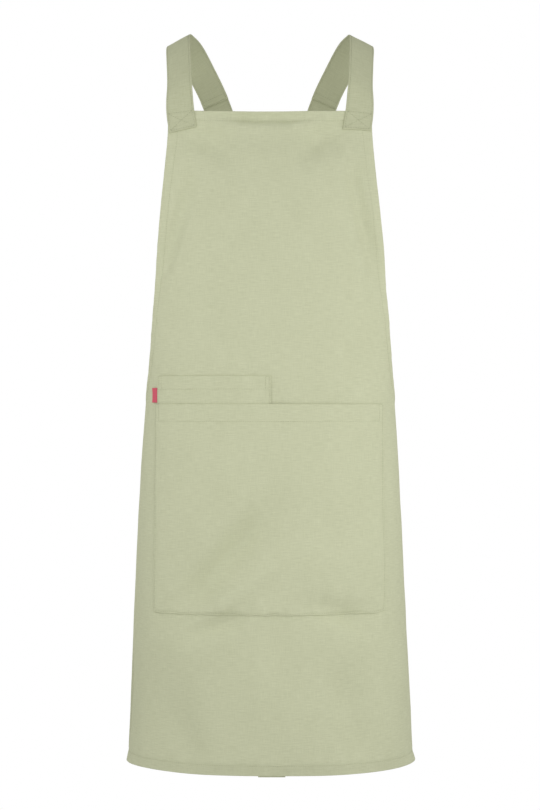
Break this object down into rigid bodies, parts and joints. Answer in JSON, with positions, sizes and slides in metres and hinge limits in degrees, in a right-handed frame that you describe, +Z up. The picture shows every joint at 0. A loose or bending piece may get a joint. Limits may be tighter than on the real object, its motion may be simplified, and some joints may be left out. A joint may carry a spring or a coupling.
{
  "type": "bib apron",
  "caption": "Long cloth bib apron with straps that cross on the back, an open back and patch pockets, in the round form it has when worn.",
  "frame": {"origin": "halfway between the crests of the two shoulder straps, where they rest on the wearer's shoulders", "axes": "+Z up, the front of the apron faces -Y, +X towards the wearer's left"},
  "size_m": [0.406, 0.2536, 1.0346],
  "materials": {
    "apron_cloth": "pale sage green plain woven cotton with fine slubs, matt",
    "label_weave": "red woven ribbon, plain, slight sheen"
  },
  "bodies": {
    "root": {"apron_panel": "apron_cloth", "large_pocket": "apron_cloth", "small_pocket": "apron_cloth", "side_label": "label_weave", "hem_tab": "apron_cloth", "shoulder_strap_left": "apron_cloth", "shoulder_strap_right": "apron_cloth", "back_strap_left": "apron_cloth", "back_strap_right": "apron_cloth"}
  },
  "joints": []
}
